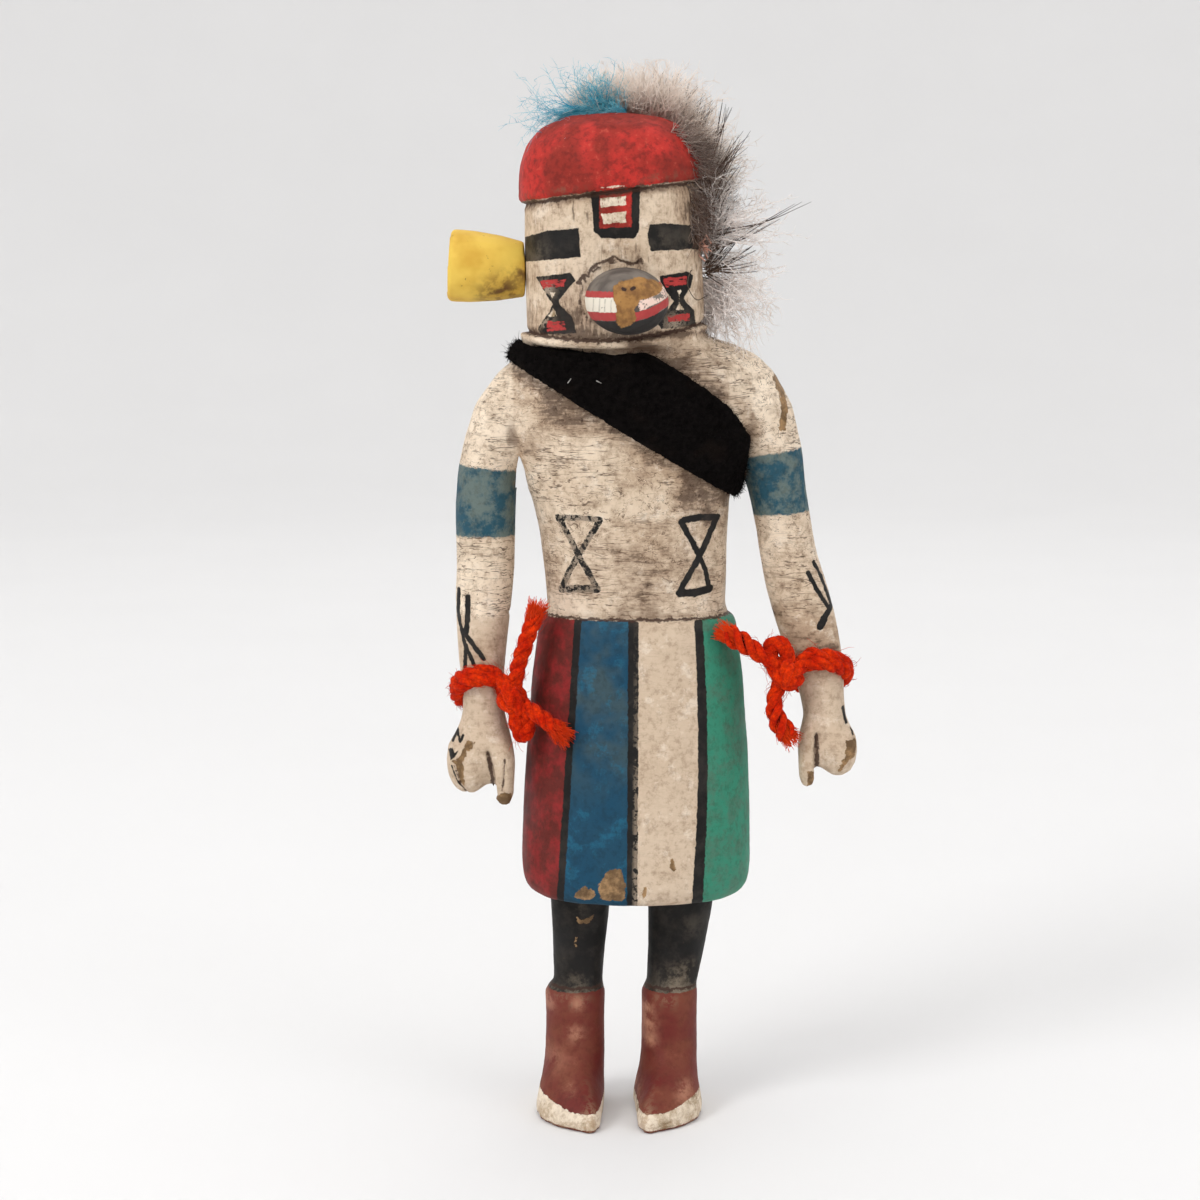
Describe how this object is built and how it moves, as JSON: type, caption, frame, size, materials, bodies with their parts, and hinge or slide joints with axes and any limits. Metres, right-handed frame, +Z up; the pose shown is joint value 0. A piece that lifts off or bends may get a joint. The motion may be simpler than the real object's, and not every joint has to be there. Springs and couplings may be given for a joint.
{
  "type": "kachina doll",
  "caption": "Carved and painted wooden kachina doll standing on its soles: case mask with snout and ear blossom, wool strap, wrist yarn, and fur and feathers over the crown.",
  "frame": {"origin": "on the floor, under the middle of the box that holds the doll without its wrist yarn", "axes": "+Z up; the doll faces -Y; +X towards the doll's left hand"},
  "size_m": [0.1048, 0.0608, 0.2695],
  "materials": {
    "painted_cottonwood": "matt hand-applied mineral paint over cottonwood root, worn and rubbed, with bare wood at the chips",
    "snout_paint": "matt paint in bands, worn to bare wood at the tip",
    "yellow_paint": "matt ochre yellow paint with a brown smudge",
    "black_wool": "fuzzy felted black wool",
    "red_yarn": "fuzzy plied wool yarn",
    "grey_fur": "grey-brown fur with black guard hairs",
    "blue_down": "dyed turquoise down",
    "pale_down": "pale grey downy feathers with dark tips"
  },
  "bodies": {
    "root": {"carved_figure": "painted_cottonwood", "snout": "snout_paint", "ear_blossom": "yellow_paint", "wool_strap": "black_wool", "wrist_yarn_right": "red_yarn", "wrist_yarn_left": "red_yarn", "crown_fur": "grey_fur", "blue_feather": "blue_down", "side_feathers": "pale_down"}
  },
  "joints": []
}
